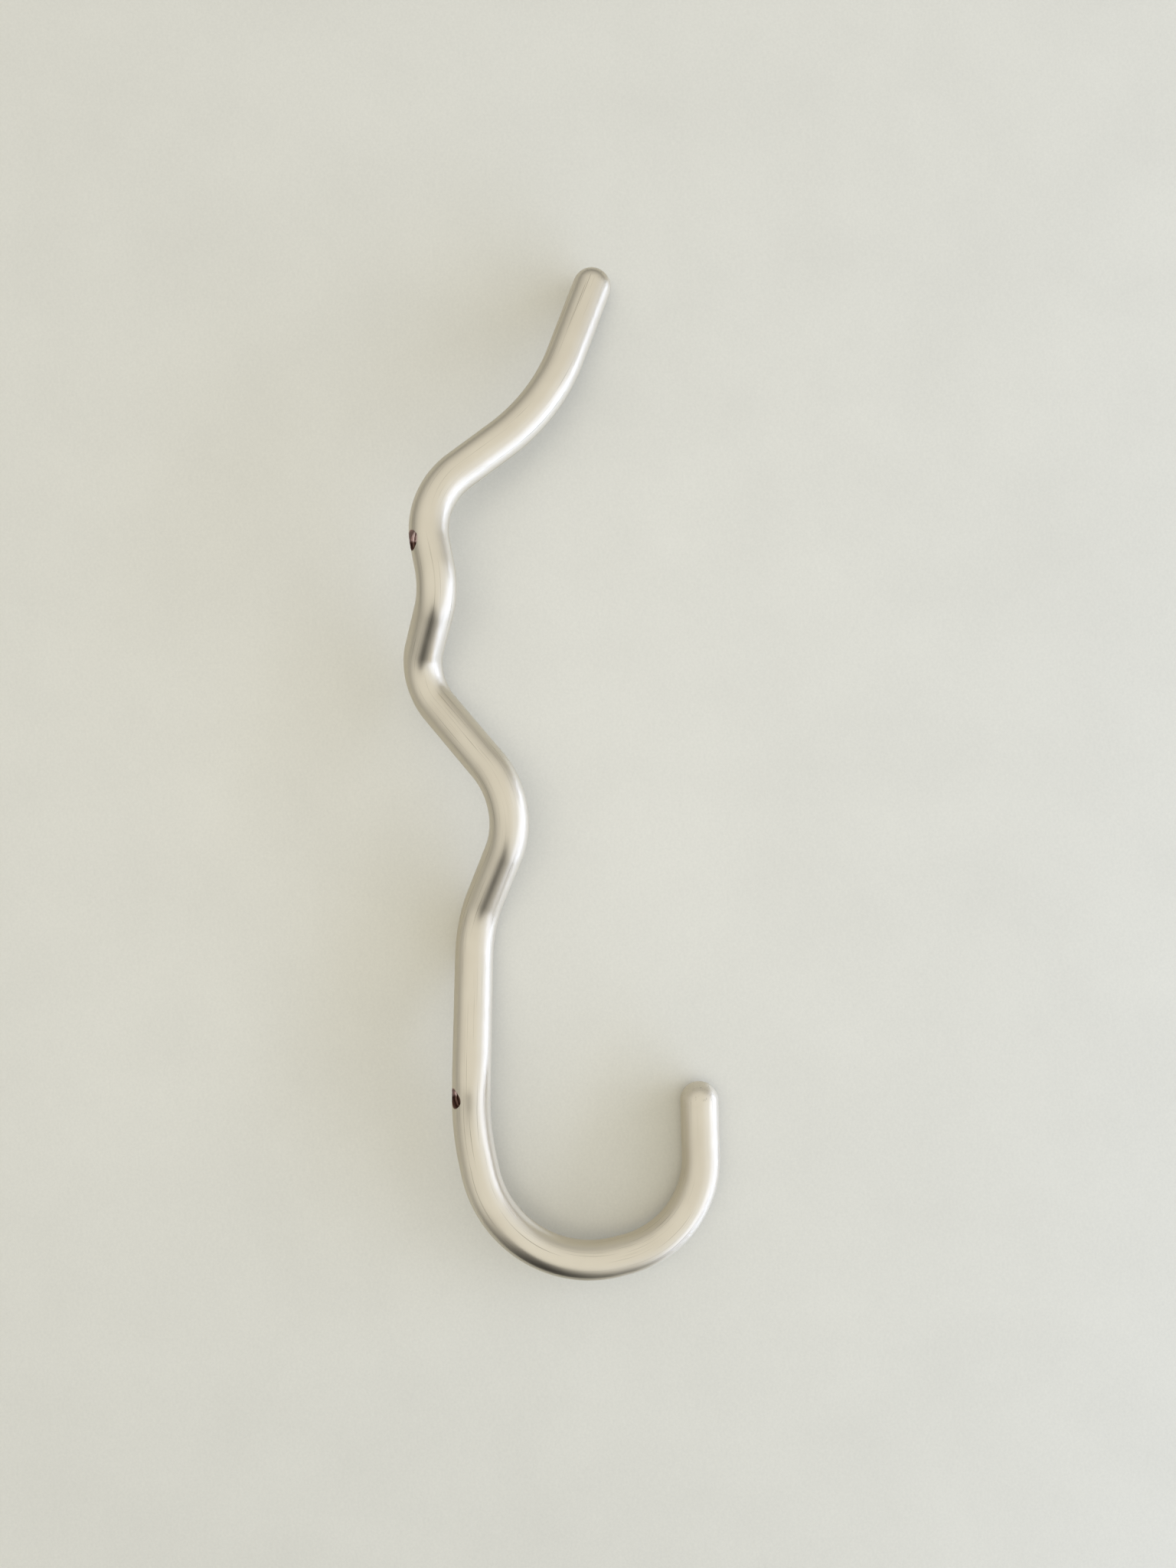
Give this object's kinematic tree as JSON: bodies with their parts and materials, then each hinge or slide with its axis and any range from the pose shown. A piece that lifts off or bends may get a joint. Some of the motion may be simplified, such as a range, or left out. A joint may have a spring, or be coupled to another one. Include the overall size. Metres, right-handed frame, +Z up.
{
  "type": "wall hook",
  "caption": "Bent round-bar wall hook with a leaning hat prong, a wavy middle and a wide J, fixed by studs in threaded holes on its wall side.",
  "frame": {"origin": "mouth of the upper fixing hole, on the wall's face", "axes": "+Z up the wall along the line between the fixing holes, +X straight out of the wall, +Y to the right of someone facing the wall"},
  "size_m": [0.0635, 0.047, 0.2631],
  "materials": {
    "satin_nickel": "satin nickel plate on polished steel bar"
  },
  "bodies": {
    "root": {"hook": "satin_nickel"}
  },
  "joints": []
}
